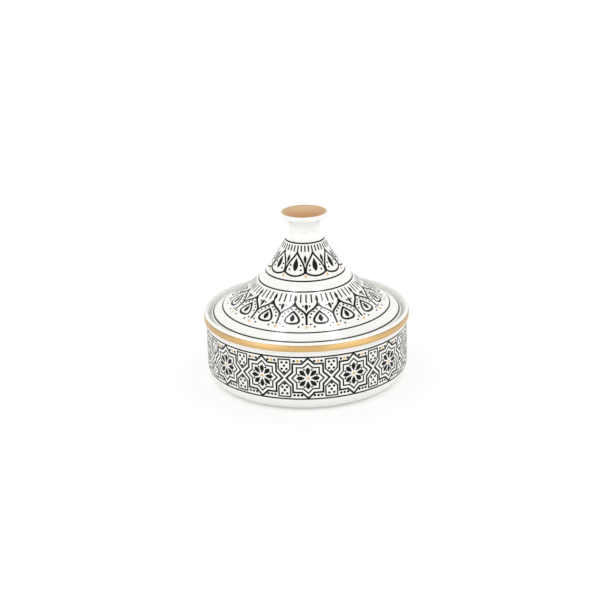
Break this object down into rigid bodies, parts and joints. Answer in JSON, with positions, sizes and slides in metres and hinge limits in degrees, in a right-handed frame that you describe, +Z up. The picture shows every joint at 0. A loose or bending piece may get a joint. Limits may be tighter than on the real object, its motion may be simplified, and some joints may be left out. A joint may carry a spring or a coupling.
{
  "type": "tagine pot",
  "caption": "Round glazed ceramic tagine with a low straight-sided dish, a conical lid that lifts out of its gallery and a flared, gilded cup knob.",
  "frame": {"origin": "on the table, at the middle of the dish's foot", "axes": "+Z up along the pot's axis; the pot is round, so X and Y are free, and -Y faces the picture's viewer"},
  "size_m": [0.2, 0.2, 0.1665],
  "materials": {
    "porcelain": "clear gloss glaze over a warm white body",
    "gilding": "satin fired-on gold",
    "black_enamel": "glossy fired-on black print"
  },
  "bodies": {
    "dish": {"dish": "porcelain", "rim_gilding": "gilding", "dish_lines": "black_enamel"},
    "lid": {"lid": "porcelain", "knob": "porcelain", "knob_gilding": "gilding", "lid_lines": "black_enamel"}
  },
  "joints": [
    {"name": "lid_lift", "type": "slide", "parent": "dish", "child": "lid", "axis": [0, 0, 1], "range_m": [0, 0.12]}
  ]
}
